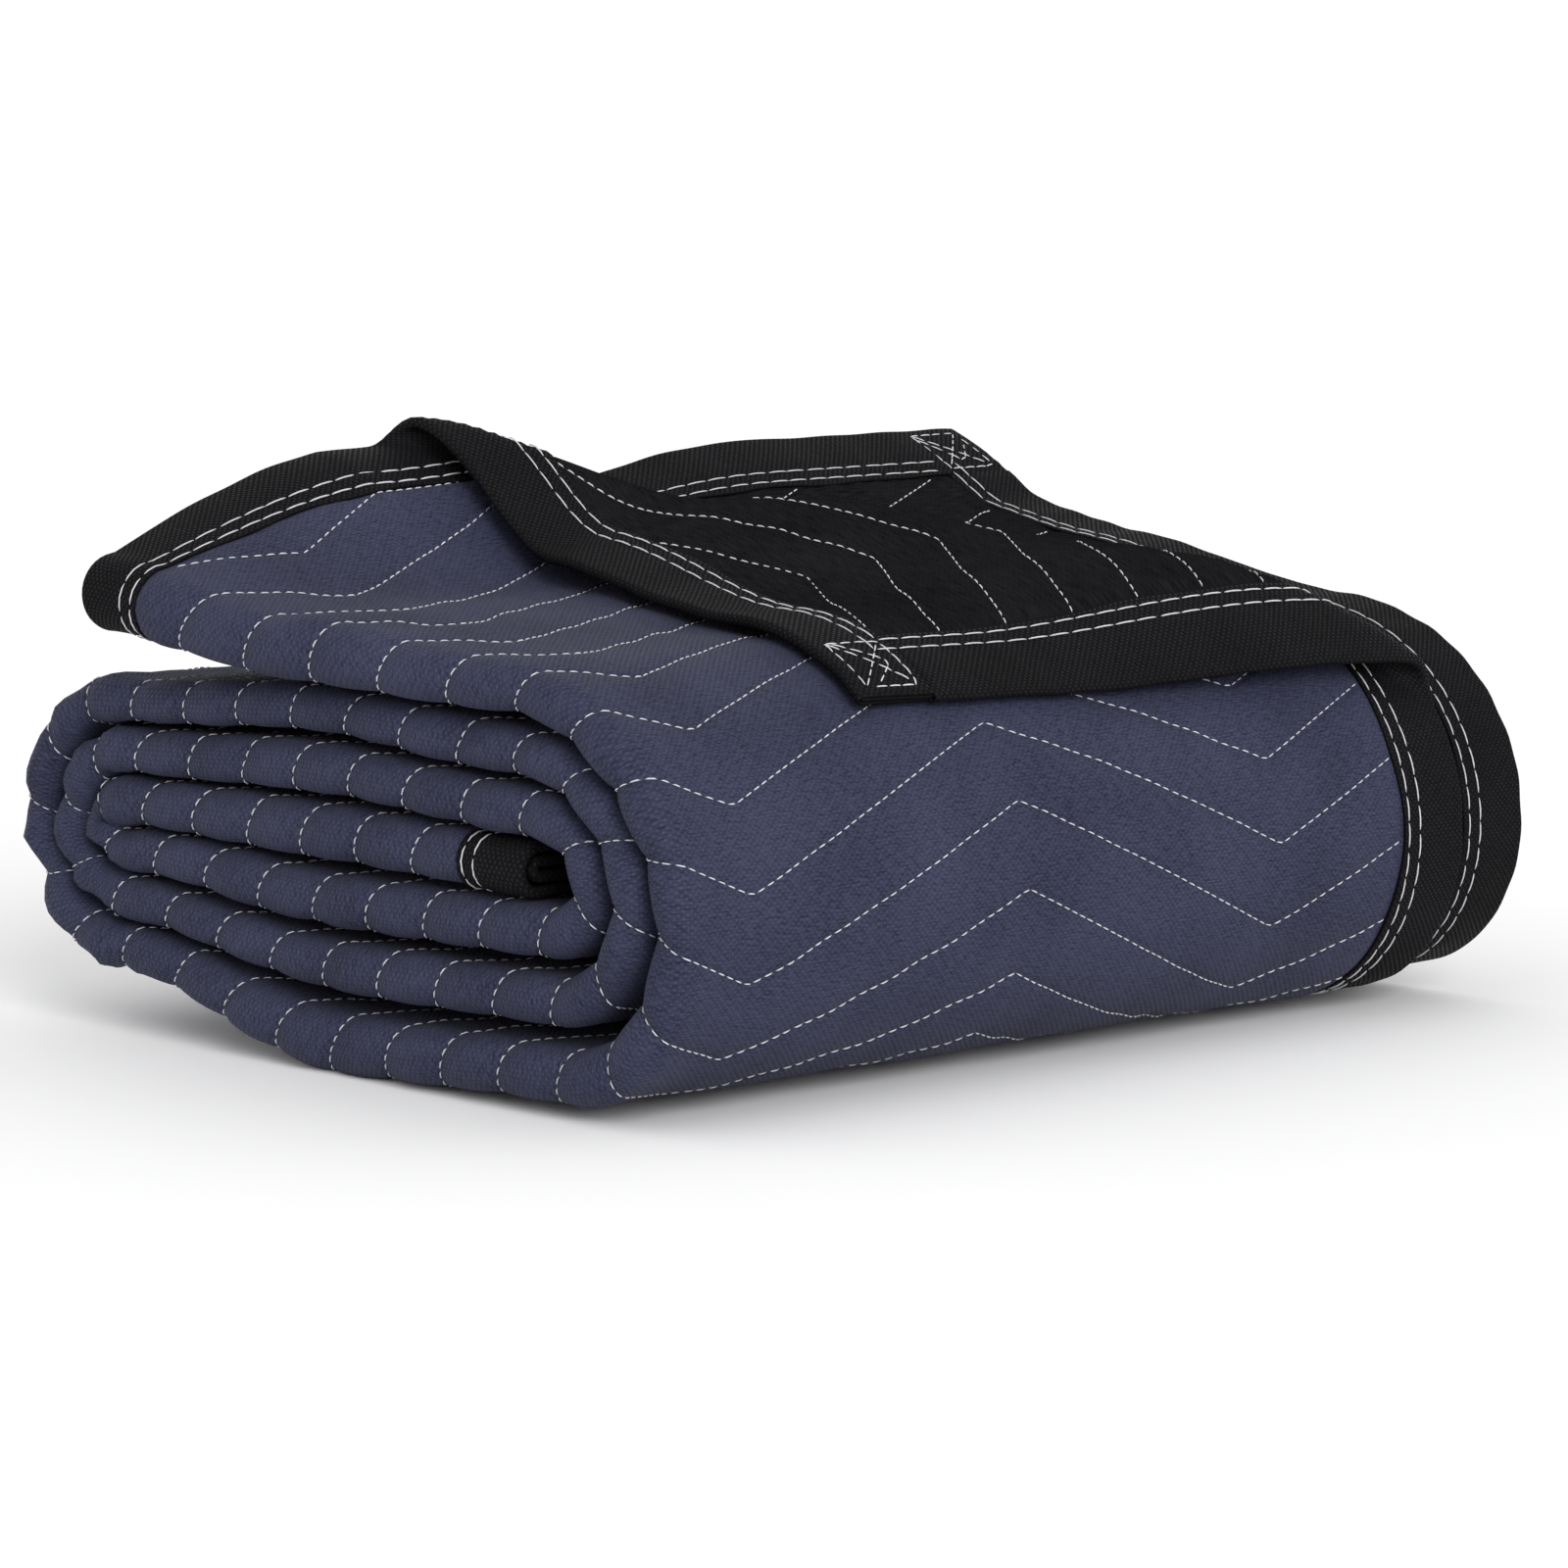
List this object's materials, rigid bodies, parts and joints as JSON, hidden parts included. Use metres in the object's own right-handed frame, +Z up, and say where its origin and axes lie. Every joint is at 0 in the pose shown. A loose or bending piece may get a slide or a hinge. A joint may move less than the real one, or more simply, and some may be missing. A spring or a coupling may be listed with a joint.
{
  "type": "moving blanket",
  "caption": "Quilted moving blanket with bound edges, folded lengthwise and rolled flat into a soft pack, with a corner of its outer ply turned back",
  "frame": {"origin": "middle of the base of the pack's box, on the surface it rests on", "axes": "+X runs across the roll, from the side of the loose outer end to the rounded side, +Y runs along the lengthwise folds to the edges that lie open, +Z is up"},
  "size_m": [0.2698, 0.3377, 0.1643],
  "materials": {
    "navy_quilted_cloth": "matt needled felt, navy on one side and charcoal black on the other, stitched in zigzag rows",
    "black_binding": "black point-bonded binding tape with a faint sheen, stitched twice with off-white thread"
  },
  "bodies": {
    "root": {"quilted_cloth": "navy_quilted_cloth", "binding_long_outer": "black_binding", "binding_long_inner": "black_binding", "binding_end_outer": "black_binding", "binding_end_inner": "black_binding"}
  },
  "joints": []
}
